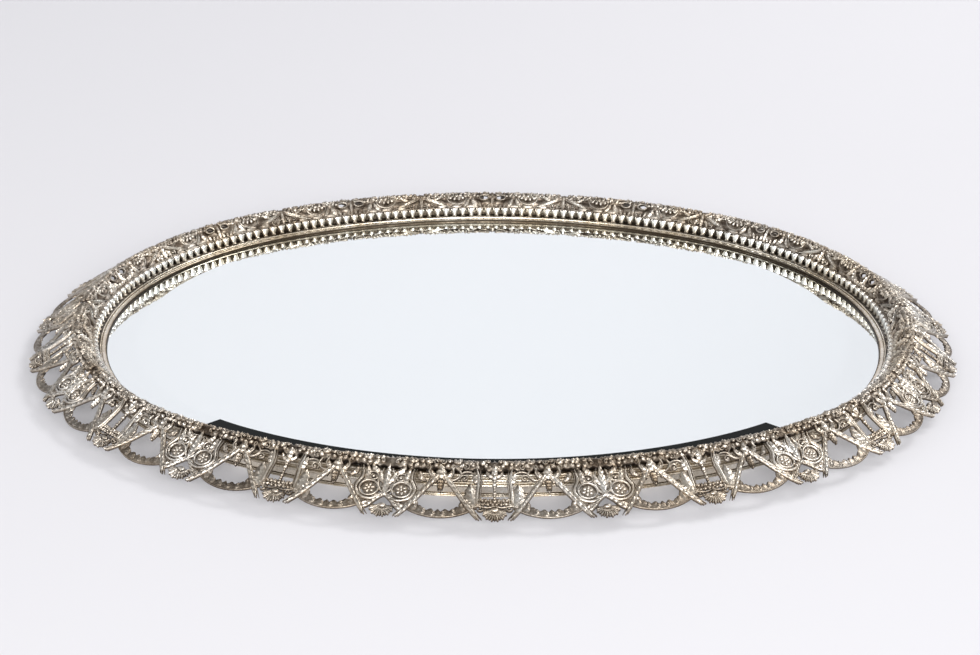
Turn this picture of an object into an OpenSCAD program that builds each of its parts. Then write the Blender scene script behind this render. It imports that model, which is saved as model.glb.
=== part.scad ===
// Oval mirror plateau: a bevelled mirror tray in a pierced cast border with scalloped edges.
// Millimetres. The origin is on the table under the middle; +X runs along the length, +Z is up.
// "Inset" always means the distance inwards from the outline through the palmette tips.

/* [Outline] */
// Overall length across the palmette tips
tray_l = 600; // [560:5:760]
// Overall width across the palmette tips
tray_w = 520; // [400:5:540]

/* [Mirror] */
// Thickness of the glass plate
glass_t = 5; // [4:0.5:8]
// Width of the bevel around the glass
bevel_w = 19.7; // [8:0.1:28]
// How much thinner the glass is at its edge
bevel_drop = 1.9; // [0.8:0.1:3]
// Thickness of the paper packing under the glass
packing_t = 0.5; // [0.3:0.1:1.5]

/* [Backing] */
// Thickness of the wooden backing board
board_t = 4; // [3:0.5:8]
// Thickness of the baize glued under the board
baize_t = 1; // [0.5:0.1:2]
// Number of posts and screws that hold the board
board_fixings = 8; // [4:2:12]
// Radius of a board post
post_r = 1.5; // [1.4:0.1:1.7]
// Radius of the board screws and of the section screws
screw_r = 0.9; // [0.7:0.1:1]
// Radius of a screw head
head_r = 1.4; // [1.2:0.1:1.5]
// Thickness of a screw head
head_t = 0.9; // [0.6:0.1:1.2]

/* [Rim] */
// Thickness of the rim ring that carries the castings
rim_t = 1.8; // [1.4:0.1:3]
// Width of the plain polished band beside the glass
band_w = 4.4; // [3:0.1:8]
// How far the rim reaches over the edge of the glass
lip_w = 1; // [0.6:0.1:2]
// Thickness of the base wall
wall_t = 1.2; // [0.8:0.1:1.6]
// How far the base wall leans outwards from foot to top
wall_flare = 2.4; // [1:0.1:3]
// Thickness of the reeded band behind the castings
reed_t = 1.4; // [1:0.1:1.6]
// Height of the reeded band
reed_h = 6.2; // [4:0.1:8]
// Number of reeds on the band
reeds = 4; // [2:1:6]

/* [Bead gallery] */
// Height of the gallery of small knobs
gallery_h = 3.9; // [3:0.1:6]
// Width of the gallery
gallery_w = 4.4; // [3.6:0.1:6]
// Number of knobs on a long side
side_knobs = 50; // [20:1:60]
// Number of knobs round an end
end_knobs = 63; // [40:1:80]
// Radius of a knob
knob_r = 1.8; // [1:0.1:2.1]

/* [Pierced border] */
// Inset of the crest, the highest line of the border
crest_inset = 34.5; // [32:0.5:40]
// Height of the crest above the bead gallery
crest_rise = 10; // [6:0.5:18]
// Height of the palmette tips above the table
tip_z = 7; // [2:0.1:10]
// Thickness of the castings
cast_t = 1.7; // [1.2:0.1:2.4]
// Thickness of the foot flange of a casting
foot_t = 1; // [0.8:0.1:2]
// Width of the diagonal straps
strap_w = 3; // [2:0.1:5]
// Widest part of the crescent between two tips
crescent_w = 5; // [3:0.1:8]
// Half the width of a palmette
fan_w = 8; // [5:0.1:9]

/* [Clearances] */
// Gap between the glass and the lip above it
lip_gap = 0.2; // [0.1:0.05:0.5]
// Gap around the board, the baize and the packing
edge_gap = 0.6; // [0.3:0.1:1.2]
// Gap between neighbouring castings, and between casting and gallery
joint_gap = 0.1; // [0.05:0.05:0.3]
// Extra radius of a hole that a screw passes through freely
screw_gap = 0.2; // [0.1:0.05:0.3]

/* [Hidden] */
RING_NODES = ["mirror_plate", "packing_sheet", "backing_board", "baize_cover", "base_wall", "rim_ring",
    "reeded_band"];
GALLERY_NODES = ["bead_gallery_front", "bead_gallery_right", "bead_gallery_back", "bead_gallery_left"];
SECTION_NODES = ["border_section_01", "border_section_02", "border_section_03", "border_section_04",
    "border_section_05", "border_section_06", "border_section_07", "border_section_08",
    "border_section_09", "border_section_10", "border_section_11", "border_section_12",
    "border_section_13", "border_section_14"];
FIXING_NODES = ["board_posts", "board_screws", "section_screws"];

$fn = 96;
DEGREES = 180 / PI;
BIG = 1000;

// Heights, from the table up
board_z = baize_t;
packing_z = board_z + board_t;
glass_z = packing_z + packing_t;
glass_edge_z = glass_z + glass_t - bevel_drop;
glass_top_z = glass_z + glass_t;
rim_z = glass_edge_z + lip_gap;
seat_z = rim_z + rim_t;
gallery_z = seat_z + foot_t;
gallery_top_z = gallery_z + gallery_h;
crest_z = gallery_top_z + crest_rise;
// The band slopes down to this thickness beside the glass.
band_edge_t = 0.7;
band_low_z = rim_z + band_edge_t;
rail_t = 0.8;
// The shoulder is the line where a casting's solid crest meets its openwork.
shoulder_drop = 5.7;
shoulder_z = crest_z - shoulder_drop;
shoulder_inset = 27;
shoulder_back = 1.3;

// Insets, from the tips inwards
seat_inset = 36.4;
reed_step = 0.5;
reed_inset = seat_inset + reed_step;
leg_gap = 0.3;
leg_inset = reed_inset + reed_t + leg_gap;
leg_t = 1.5;
bead_inset = leg_inset + leg_t + leg_gap;
band_inset = bead_inset + gallery_w;
sight_inset = band_inset + band_w;
glass_inset = sight_inset - lip_w;
bevel_inset = glass_inset + bevel_w;
wall_inset = 42;
post_gap = 0.4;
post_inset = glass_inset - post_r - post_gap;
// A board screw stops short of the closed top of its post.
post_cap = 0.8;
screw_end_gap = 0.5;
board_screw_l = board_t + rim_z - packing_z - post_cap - screw_end_gap;
board_inset = wall_inset + wall_t + edge_gap;
screw_set_back = 0.8;
screw_inset = board_inset - screw_set_back;

// The outline is an oval of four arcs: two long sides and two ends, each with its own centre.
// Three castings make a long side and four an end, all of one length along the crest.
side_sections = 3;
end_sections = 4;
half_l = tray_l / 2;
half_w = tray_w / 2;

// For ends whose radius is "drop" under half the width: the end's centre, and the side's centre
function end_centre(drop) = half_l - half_w + drop;
function side_centre(drop) = (pow(end_centre(drop), 2) - drop * drop) / (2 * drop);
function side_angle(drop) = atan2(end_centre(drop), side_centre(drop));

// The share of the crest that the two long sides take
function side_share(drop) =
    let(side = side_angle(drop) * (half_w + side_centre(drop) - crest_inset),
        end = (90 - side_angle(drop)) * (half_w - drop - crest_inset))
    side / (side + end);

// Halves a range until the long sides take the share that their castings need
function fitted_drop(low, high, turns) =
    let(middle = (low + high) / 2)
    turns == 0 ? middle
    : side_share(middle) < side_sections / (side_sections + end_sections)
    ? fitted_drop(middle, high, turns - 1)
    : fitted_drop(low, middle, turns - 1);

end_drop = fitted_drop(0.1, half_w / 2, 40);
end_r = half_w - end_drop;
end_c = end_centre(end_drop);
side_c = side_centre(end_drop);
side_r = half_w + side_c;
side_half_angle = side_angle(end_drop);
end_half_angle = 90 - side_half_angle;

// Where a long side meets an end, each runs past the other by joint_lap degrees, and the end sits
// joint_step inside the side, so that the two overlap and never share a tangent face.
joint_step = 0.04;
joint_lap = 0.4;

// The arcs in turn, from the front round to the right: centre, radius, middle angle, half angle
ARCS = [
    [[0, side_c], side_r, -90, side_half_angle],
    [[end_c + joint_step, 0], end_r - joint_step, 0, end_half_angle],
    [[0, -side_c], side_r, 90, side_half_angle],
    [[-end_c - joint_step, 0], end_r - joint_step, 180, end_half_angle]
];

// Distances round the border are measured along the crest, from the middle of the front.
function crest_len(i) = 2 * ARCS[i][3] / DEGREES * (ARCS[i][1] - crest_inset);
function crest_start(i) = i == 0 ? -crest_len(0) / 2 : crest_start(i - 1) + crest_len(i - 1);
girth = 2 * (crest_len(0) + crest_len(1));
sections = 2 * (side_sections + end_sections);
tips = 2 * sections;
tip_pitch = girth / tips;
function wrapped(s) = s - girth * floor((s - crest_start(0)) / girth);
function arc_at(s) = len([for (i = [1:3]) if (wrapped(s) >= crest_start(i)) i]);
function angle_on(i, s) = ARCS[i][2] - ARCS[i][3] + (s - crest_start(i)) / (ARCS[i][1] - crest_inset) * DEGREES;
function ring_angle(s) = angle_on(arc_at(s), wrapped(s));
function ring_point(s, inset) = ARCS[arc_at(s)][0]
    + (ARCS[arc_at(s)][1] - inset) * [cos(ring_angle(s)), sin(ring_angle(s))];

// A profile of [inset, height] points as the same profile turned about an arc's centre
function turned(profile, radius) = [for (p = profile) [radius - p[0], p[1]]];

// Turns a profile about one arc, between two angles.
module turn_arc(i, profile, from, to) {
    translate([ARCS[i][0][0], ARCS[i][0][1], 0])
        rotate([0, 0, from])
            rotate_extrude(angle = to - from)
                polygon(turned(profile, ARCS[i][1]));
}

// Turns a profile all the way round the oval.
module full_ring(profile) {
    for (i = [0:3])
        turn_arc(i, profile, ARCS[i][2] - ARCS[i][3] - joint_lap, ARCS[i][2] + ARCS[i][3] + joint_lap);
}

// A solid oval plate between two heights, set in from the outline.
module oval_plate(inset, z_low, z_high) {
    linear_extrude_at(z_low, z_high)
        oval_outline(inset);
}

// Raises a flat shape into a solid between two heights.
module linear_extrude_at(z_low, z_high) {
    translate([0, 0, z_low])
        linear_extrude(height = z_high - z_low)
            children();
}

// A flat oval, set in from the outline.
module oval_outline(inset) {
    for (i = [0:3])
        intersection() {
            translate(ARCS[i][0])
                circle(r = ARCS[i][1] - inset);
            arc_wedge(i);
        }
}

// The wedge that belongs to an arc, from its centre outwards.
module arc_wedge(i) {
    centre = ARCS[i][0];
    half = ARCS[i][3] + joint_lap;
    polygon(concat([centre], [for (t = [-1:0.5:1]) centre + BIG * [
        cos(ARCS[i][2] + t * half),
        sin(ARCS[i][2] + t * half)]]));
}

// Puts a shape on the border: +Y points outwards and the origin is on the outline.
module on_ring(s) {
    place = ring_point(s, 0);
    translate([place[0], place[1], 0])
        rotate([0, 0, ring_angle(s) - 90])
            children();
}

function tip_s(k) = k * tip_pitch;
function fixing_s(k) = (k + 0.5) * girth / board_fixings;

// ---- Mirror, packing, board and baize ----

module mirror_plate() {
    // The cut that makes the bevel starts outside the glass, on the line of the bevel.
    margin = 2;
    slope = bevel_drop / bevel_w;
    color("aliceblue")
        difference() {
            oval_plate(glass_inset, glass_z, glass_top_z);
            full_ring([
                [glass_inset - margin, glass_edge_z - margin * slope],
                [glass_inset - margin, glass_top_z + margin],
                [bevel_inset, glass_top_z + margin],
                [bevel_inset, glass_top_z]
            ]);
        }
}

module packing_sheet() {
    color("tan")
        oval_plate(glass_inset, packing_z, glass_z);
}

module backing_board() {
    color("saddlebrown")
        difference() {
            oval_plate(board_inset, board_z, packing_z);
            for (k = [0:board_fixings - 1])
                on_ring(fixing_s(k))
                    translate([0, -post_inset, 0]) {
                        cylinder(r = screw_r + screw_gap, h = BIG);
                        cylinder(r = head_r + screw_gap, h = board_z + head_t);
                    }
        }
}

module baize_cover() {
    color("darkgreen")
        oval_plate(board_inset, 0, board_z);
}

// ---- Metal rings ----

module base_wall() {
    bead = 0.5;
    step = 1.1;
    // Two fine lines run along the foot below the smooth band.
    outer = [[wall_inset, 0], [wall_inset - bead, step / 2], [wall_inset, step],
        [wall_inset - bead, 3 * step / 2], [wall_inset, 2 * step],
        [wall_inset - wall_flare, rim_z]];
    inner = [[wall_inset + wall_t - wall_flare, rim_z], [wall_inset + wall_t, 2 * step],
        [wall_inset + wall_t, 0]];
    color("silver")
        full_ring(concat(outer, inner));
}

module rim_ring() {
    color("gainsboro")
        difference() {
            full_ring([
                [seat_inset, rim_z],
                [seat_inset, seat_z],
                [band_inset, seat_z],
                [sight_inset, band_low_z],
                [sight_inset, rim_z]
            ]);
            section_screw_places()
                cylinder(r = screw_r + screw_gap, h = BIG);
        }
}

module reeded_band() {
    reed = reed_h / reeds;
    groove = 0.4;
    front = [for (i = [0:2 * reeds]) [reed_inset + (i % 2 == 0 ? groove : 0), seat_z + i * reed / 2]];
    color("darkkhaki")
        full_ring(concat(front, [
            [reed_inset + reed_t, seat_z + reed_h],
            [reed_inset + reed_t, seat_z]
        ]));
}

// ---- Bead gallery ----

module bead_gallery(i, knobs) {
    from = ARCS[i][2] - ARCS[i][3];
    sweep = 2 * ARCS[i][3];
    gap = joint_gap / 2 / ARCS[i][1] * DEGREES;
    web_t = 0.9;
    color("lightgray") {
        turn_arc(i, [
            [bead_inset, gallery_z],
            [bead_inset, gallery_top_z],
            [band_inset - rail_t, gallery_top_z],
            [band_inset - rail_t, gallery_top_z - rail_t],
            [bead_inset + web_t, gallery_top_z - rail_t],
            [bead_inset + web_t, gallery_z + rail_t],
            [band_inset, gallery_z + rail_t],
            [band_inset, gallery_z]
        ], from + gap, from + sweep - gap);
        for (k = [0:knobs - 1])
            translate([ARCS[i][0][0], ARCS[i][0][1], 0])
                rotate([0, 0, from + (k + 0.5) * sweep / knobs])
                    translate([ARCS[i][1] - band_inset + knob_r + rail_t, 0, gallery_z + rail_t])
                        cylinder(r = knob_r, h = gallery_h - 2 * rail_t);
    }
}

// ---- Pierced border sections ----

// The plain upper part of a casting: crest, inner leg and foot flange
function crest_profile() = [
    [shoulder_inset, shoulder_z],
    [crest_inset - 3.5, crest_z - 1.9],
    [crest_inset, crest_z],
    [crest_inset + 2, crest_z - 2],
    [bead_inset - joint_gap - 0.4, gallery_top_z + 0.6],
    [bead_inset - joint_gap, gallery_z],
    [band_inset, gallery_z],
    [band_inset, seat_z],
    [leg_inset, seat_z],
    [leg_inset - 0.5, gallery_top_z],
    [crest_inset + 0.7, crest_z - 4.2],
    [crest_inset - 0.2, crest_z - 2.6],
    [crest_inset - 2.5, crest_z - 3.9],
    [shoulder_inset + shoulder_back, shoulder_z - cast_t]
];

// The sloping apron that the openwork is cut from
function apron_profile() = [
    [0, tip_z],
    [10, tip_z + 4.8],
    [20, tip_z + 10.8],
    [shoulder_inset, shoulder_z],
    [shoulder_inset + shoulder_back, shoulder_z - cast_t],
    [20 + shoulder_back, tip_z + 10.8 - cast_t],
    [10 + 0.8, tip_z + 4.7 - cast_t],
    [0, tip_z - cast_t]
];

// A straight strap between two places given as [distance, inset]
module strap(a, b, width) {
    p = ring_point(a[0], a[1]);
    q = ring_point(b[0], b[1]);
    across = (width / 2) * [p[1] - q[1], q[0] - p[0]] / norm(q - p);
    polygon([p + across, q + across, q - across, p - across]);
}

module palmette() {
    polygon([[0, 0], [-0.4 * fan_w, -1.2], [-0.75 * fan_w, -3.2], [-fan_w, -6.6], [-0.6 * fan_w, -11.5],
        [0.6 * fan_w, -11.5], [fan_w, -6.6], [0.75 * fan_w, -3.2], [0.4 * fan_w, -1.2]]);
}

// The flat crescent between two tips: the space between two arcs
module crescent() {
    reach = tip_pitch / 2;
    // Its outer edge stands this far inside the line of the tips, and it ends beside the palmettes.
    set_back = 3.5;
    end_y = 0.6 * reach;
    difference() {
        translate([0, -reach - set_back])
            circle(r = reach);
        translate([0, -reach - set_back - crescent_w])
            circle(r = reach);
        translate([-BIG / 2, -BIG - end_y])
            square(BIG);
    }
}

// Two upright leaves and a beaded stem over a garland
module leaf_motif() {
    for (side = [-1, 1])
        translate([side * 10, 0])
            polygon([[-1.2, -10], [-3, -15], [-2.4, -21], [-1, -27.5], [1, -27.5], [2.4, -21], [3, -15],
                [1.2, -10]]);
    translate([-0.8, -27.5])
        square([1.6, 17]);
    polygon([[-12, -12.5], [-12, -9.5], [12, -9.5], [12, -12.5]]);
}

// A heart of two scrolls with round rosettes, and an acanthus leaf between them
module heart_motif() {
    for (side = [-1, 1])
        translate([side * 8.5, -17.5])
            difference() {
                circle(r = 6.5);
                circle(r = 2);
            }
    polygon([[0, -9], [-3, -14], [-2.4, -21], [-4, -27.5], [4, -27.5], [2.4, -21], [3, -14]]);
    for (side = [-1, 1])
        translate([side * 11, 0])
            polygon([[-1.5, -21], [1.5, -21], [2, -27.5], [-2, -27.5]]);
}

// The openwork of one tip, with the straps that reach it and the crescent beyond it
module openwork(k) {
    s = tip_s(k);
    on_ring(s) {
        palmette();
        if (k % 2 == 0)
            leaf_motif();
        else
            heart_motif();
    }
    for (side = [-1, 1])
        strap([s + side * tip_pitch / 2, shoulder_inset + 0.5], [s + side * 0.1 * tip_pitch, 6], strap_w);
}

// The openwork of one casting: a leaf motif in the middle and half a heart motif at either end
module section_openwork(j) {
    for (k = [2 * j - 1 : 2 * j + 1])
        openwork(k);
    for (k = [2 * j - 0.5, 2 * j + 0.5])
        on_ring(tip_s(k))
            crescent();
}

function section_half_angle(i) = (tip_pitch - joint_gap / 2) / (ARCS[i][1] - crest_inset) * DEGREES;

module border_section(j) {
    i = arc_at(tip_s(2 * j));
    from = ring_angle(tip_s(2 * j)) - section_half_angle(i);
    to = ring_angle(tip_s(2 * j)) + section_half_angle(i);
    color(j % 2 == 0 ? "rosybrown" : "lightslategray")
        difference() {
            union() {
                turn_arc(i, crest_profile(), from, to);
                intersection() {
                    turn_arc(i, apron_profile(), from, to);
                    linear_extrude_at(0, crest_z)
                        section_openwork(j);
                }
            }
            section_screw_places()
                cylinder(r = screw_r, h = BIG);
        }
}

// ---- Fixings ----

module section_screw_places() {
    for (k = [0:tips - 1])
        on_ring(tip_s(k + 0.5))
            translate([0, -screw_inset, rim_z - head_t])
                children();
}

module board_posts() {
    color("silver")
        for (k = [0:board_fixings - 1])
            on_ring(fixing_s(k))
                translate([0, -post_inset, packing_z])
                    difference() {
                        cylinder(r = post_r, h = rim_z - packing_z);
                        cylinder(r = screw_r, h = rim_z - packing_z - post_cap);
                    }
}

module board_screws() {
    color("goldenrod")
        for (k = [0:board_fixings - 1])
            on_ring(fixing_s(k))
                translate([0, -post_inset, board_z]) {
                    cylinder(r = head_r, h = head_t);
                    cylinder(r = screw_r, h = board_screw_l);
                }
}

module section_screws() {
    color("goldenrod")
        section_screw_places() {
            cylinder(r = head_r, h = head_t);
            cylinder(r = screw_r, h = head_t + rim_t + foot_t);
        }
}

mirror_plate();
packing_sheet();
backing_board();
baize_cover();
base_wall();
rim_ring();
reeded_band();
bead_gallery(0, side_knobs);  // bead_gallery_front
bead_gallery(1, end_knobs);  // bead_gallery_right
bead_gallery(2, side_knobs);  // bead_gallery_back
bead_gallery(3, end_knobs);  // bead_gallery_left
border_section(0);  // border_section_01
border_section(1);  // border_section_02
border_section(2);  // border_section_03
border_section(3);  // border_section_04
border_section(4);  // border_section_05
border_section(5);  // border_section_06
border_section(6);  // border_section_07
border_section(7);  // border_section_08
border_section(8);  // border_section_09
border_section(9);  // border_section_10
border_section(10);  // border_section_11
border_section(11);  // border_section_12
border_section(12);  // border_section_13
border_section(13);  // border_section_14
board_posts();
board_screws();
section_screws();
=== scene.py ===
"""An oval mirror plateau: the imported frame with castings, gallery, mouldings and mirror in detail."""

import math

import bpy
import numpy as np
from mathutils import Matrix, Vector


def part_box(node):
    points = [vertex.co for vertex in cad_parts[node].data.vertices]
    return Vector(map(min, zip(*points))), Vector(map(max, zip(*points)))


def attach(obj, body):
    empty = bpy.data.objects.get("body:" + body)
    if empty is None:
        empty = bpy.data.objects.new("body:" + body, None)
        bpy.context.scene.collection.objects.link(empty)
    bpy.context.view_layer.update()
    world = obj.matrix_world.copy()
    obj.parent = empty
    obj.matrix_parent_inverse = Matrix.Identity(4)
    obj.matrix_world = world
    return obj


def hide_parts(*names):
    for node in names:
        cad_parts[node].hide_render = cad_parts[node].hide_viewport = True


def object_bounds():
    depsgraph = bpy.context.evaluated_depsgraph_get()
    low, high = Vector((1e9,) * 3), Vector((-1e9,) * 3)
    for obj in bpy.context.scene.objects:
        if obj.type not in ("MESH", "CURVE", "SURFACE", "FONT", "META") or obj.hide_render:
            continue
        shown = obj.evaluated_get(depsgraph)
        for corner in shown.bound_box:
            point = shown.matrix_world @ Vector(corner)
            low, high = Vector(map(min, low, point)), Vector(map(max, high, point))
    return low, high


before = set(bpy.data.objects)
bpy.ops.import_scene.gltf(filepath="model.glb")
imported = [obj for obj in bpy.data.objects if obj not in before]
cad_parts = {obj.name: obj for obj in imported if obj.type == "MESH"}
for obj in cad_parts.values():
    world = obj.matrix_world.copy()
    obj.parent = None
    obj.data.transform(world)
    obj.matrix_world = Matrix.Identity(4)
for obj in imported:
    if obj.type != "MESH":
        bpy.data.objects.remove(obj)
cad_box = [list(corner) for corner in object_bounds()]

# All shapes are worked out in millimetres and turned into metres when a mesh is made.
MM = 0.001

# The oval

HALF_LENGTH = (cad_box[1][0] - cad_box[0][0]) / 2 / MM
HALF_WIDTH = (cad_box[1][1] - cad_box[0][1]) / 2 / MM
# The castings are divided along the frame's own crest.
CREST_INSET = 34.5
SIDE_SECTIONS = 3
END_SECTIONS = 4


def end_centre(drop):
    return HALF_LENGTH - HALF_WIDTH + drop


def side_centre(drop):
    return (end_centre(drop) ** 2 - drop**2) / (2 * drop)


def side_angle(drop):
    return math.atan2(end_centre(drop), side_centre(drop))


def side_share(drop):
    """The share of the crest that the two long sides take."""
    side = side_angle(drop) * (HALF_WIDTH + side_centre(drop) - CREST_INSET)
    end = (math.pi / 2 - side_angle(drop)) * (HALF_WIDTH - drop - CREST_INSET)
    return side / (side + end)


def fitted_drop():
    """How much smaller the end radius is than half the width, so that whole castings fill each arc."""
    low, high = 0.1, HALF_WIDTH / 2
    for _ in range(40):
        middle = (low + high) / 2
        if side_share(middle) < SIDE_SECTIONS / (SIDE_SECTIONS + END_SECTIONS):
            low = middle
        else:
            high = middle
    return middle


class Arc:
    """One of the four arcs of the oval, with how many castings stand on it."""

    def __init__(self, centre, radius, middle, half, castings):
        self.centre = np.array(centre)
        self.radius = radius
        self.middle = middle
        self.half = half
        self.castings = castings

    def points(self, angle, inset, height):
        """Points in space for angles, insets from the outline and heights."""
        reach = self.radius - inset
        x = self.centre[0] + reach * np.cos(angle)
        y = self.centre[1] + reach * np.sin(angle)
        return np.stack(np.broadcast_arrays(x, y, height), axis=-1)


DROP = fitted_drop()
SIDE_HALF = side_angle(DROP)
END_HALF = math.pi / 2 - SIDE_HALF
SIDE_RADIUS = HALF_WIDTH + side_centre(DROP)
END_RADIUS = HALF_WIDTH - DROP
FRONT = Arc((0, side_centre(DROP)), SIDE_RADIUS, -math.pi / 2, SIDE_HALF, SIDE_SECTIONS)
RIGHT = Arc((end_centre(DROP), 0), END_RADIUS, 0, END_HALF, END_SECTIONS)
BACK = Arc((0, -side_centre(DROP)), SIDE_RADIUS, math.pi / 2, SIDE_HALF, SIDE_SECTIONS)
LEFT = Arc((-end_centre(DROP), 0), END_RADIUS, math.pi, END_HALF, END_SECTIONS)
ARCS = {"front": FRONT, "right": RIGHT, "back": BACK, "left": LEFT}

# A casting spans two tip pitches along the crest.
PITCH = FRONT.half * (FRONT.radius - CREST_INSET) / SIDE_SECTIONS


def top_of(node):
    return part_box(node)[1][2] / MM


def foot_of(node):
    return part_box(node)[0][2] / MM


GLASS_FOOT = foot_of("mirror_plate")
GLASS_TOP = top_of("mirror_plate")
RIM_FOOT = foot_of("rim_ring")
RIM_TOP = top_of("rim_ring")
GALLERY_FOOT = foot_of("bead_gallery_front")
GALLERY_TOP = top_of("bead_gallery_front")
REED_TOP = top_of("reeded_band")


def inset_of(node):
    """How far a ring's outer edge lies inside the outline."""
    return HALF_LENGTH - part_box(node)[1][0] / MM


GLASS_INSET = inset_of("mirror_plate")
WALL_FLARE = 2.4
WALL_FOOT_INSET = inset_of("base_wall") + WALL_FLARE
RIM_INSET = inset_of("rim_ring")
REED_INSET = inset_of("reeded_band")
BEAD_INSET = HALF_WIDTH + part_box("bead_gallery_front")[0][1] / MM
GALLERY_WIDTH = 4.4
BAND_INSET = BEAD_INSET + GALLERY_WIDTH
LIP_WIDTH = 1.0
SIGHT_INSET = GLASS_INSET + LIP_WIDTH

# Meshes


def new_mesh(name, points, faces, relief=None, sharp=50):
    """A smooth-shaded mesh object from points in millimetres, with its relief height kept on the points."""
    mesh = bpy.data.meshes.new(name)
    mesh.from_pydata((np.asarray(points) * MM).tolist(), [], [list(f) for f in faces])
    mesh.shade_smooth()
    mesh.set_sharp_from_angle(angle=math.radians(sharp))
    if relief is not None:
        held = mesh.attributes.new("relief", "FLOAT", "POINT")
        held.data.foreach_set("value", np.asarray(relief, dtype=np.float32))
    mesh.validate()
    obj = bpy.data.objects.new(name, mesh)
    bpy.context.scene.collection.objects.link(obj)
    return obj


def loop_faces(rings, count):
    """Quads between closed rings of points, from each ring to the next and the last to the first."""
    faces = []
    for i in range(rings):
        a, b = i * count, (i + 1) % rings * count
        for j in range(count):
            k = (j + 1) % count
            faces.append((a + j, b + j, b + k, a + k))
    return faces


def oval_rings(profile, step):
    """A profile's points at every step of so many degrees, all the way round the oval."""
    rings = []
    for arc in ARCS.values():
        steps = max(8, round(math.degrees(2 * arc.half) / step))
        for t in np.arange(steps) / steps:
            angle = arc.middle + arc.half * (2 * t - 1)
            rings.append(arc.points(angle, profile[:, 0], profile[:, 1]))
    return rings


def oval_sweep(name, profile):
    """A closed [inset, height, wear] profile, swept round the oval; the wear value runs from dark to bright,
    and also carries painted shade where a face is darkened as if shaded (the rim's lip).
    """
    profile = np.asarray(profile, dtype=float)
    rings = oval_rings(profile, 1.5)
    faces = loop_faces(len(rings), len(profile))
    return new_mesh(name, np.concatenate(rings), faces, relief=np.tile(profile[:, 2], len(rings)), sharp=35)


def oval_disc(name, edge, sharp):
    """A solid oval plate, whose edge runs through [inset, height] points from its top to its foot."""
    edge = np.asarray(edge, dtype=float)
    rings = oval_rings(edge, 1.0)
    count = len(edge)
    faces = []
    for i in range(len(rings)):
        a, b = i * count, (i + 1) % len(rings) * count
        faces += [(a + j, a + j + 1, b + j + 1, b + j) for j in range(count - 1)]
    faces.append([i * count for i in range(len(rings))])
    faces.append([i * count + count - 1 for i in reversed(range(len(rings)))])
    return new_mesh(name, np.concatenate(rings), faces, sharp=sharp)


def arc_of_points(centre, radius, start, end, count):
    """Points on an arc in a profile, angles in degrees."""
    angles = np.radians(np.linspace(start, end, count))
    return [(centre[0] + radius * math.cos(a), centre[1] + radius * math.sin(a)) for a in angles]


# The casting's relief, laid out flat: u along the crest, v up the slope from a tip, n out of it

# The slope as (inset, height), from a tip over the crest to the gallery.
SLOPE = np.array([
    (0, 7.0), (5, 9.3), (10, 11.8), (15, 14.6), (20, 17.7), (25, 21.0), (28.3, 23.4),
    (30.6, 25.2), (32.2, 26.0), (33.8, 25.4), (35.6, 23.6), (38.0, 20.6), (40.4, 17.2)])
CREST_LINE = 32.2


def smoothed(points, per_span=8):
    """A Catmull-Rom curve through points."""
    ends = np.vstack([2 * points[0] - points[1], points, 2 * points[-1] - points[-2]])
    out = []
    for i in range(1, len(ends) - 2):
        a, b, c, d = ends[i - 1], ends[i], ends[i + 1], ends[i + 2]
        for t in np.arange(per_span) / per_span:
            out.append(0.5 * (2 * b + (c - a) * t + (2 * a - 5 * b + 4 * c - d) * t**2
                              + (3 * b - a - 3 * c + d) * t**3))
    out.append(points[-1])
    return np.array(out)


SLOPE_CURVE = smoothed(SLOPE)
SLOPE_RUN = np.concatenate([[0], np.cumsum(np.linalg.norm(np.diff(SLOPE_CURVE, axis=0), axis=1))])
SLOPE_DIR = np.gradient(SLOPE_CURVE, SLOPE_RUN, axis=0)
SLOPE_DIR /= np.linalg.norm(SLOPE_DIR, axis=1)[:, None]
SLOPE_END = SLOPE_RUN[-1]


def run_at(inset):
    """How far up the slope an inset lies, before the crest turns over."""
    return float(np.interp(inset, SLOPE_CURVE[:, 0], SLOPE_RUN))


def onto_slope(flat):
    """Flat (u, v, n) points as (u, inset, height)."""
    u, v, n = flat.T
    inset = np.interp(v, SLOPE_RUN, SLOPE_CURVE[:, 0])
    height = np.interp(v, SLOPE_RUN, SLOPE_CURVE[:, 1])
    along_inset = np.interp(v, SLOPE_RUN, SLOPE_DIR[:, 0])
    along_height = np.interp(v, SLOPE_RUN, SLOPE_DIR[:, 1])
    past = np.minimum(v, 0) + np.maximum(v - SLOPE_END, 0)
    inset = inset + past * along_inset - n * along_height
    height = height + past * along_height + n * along_inset
    return u, inset, height


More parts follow.
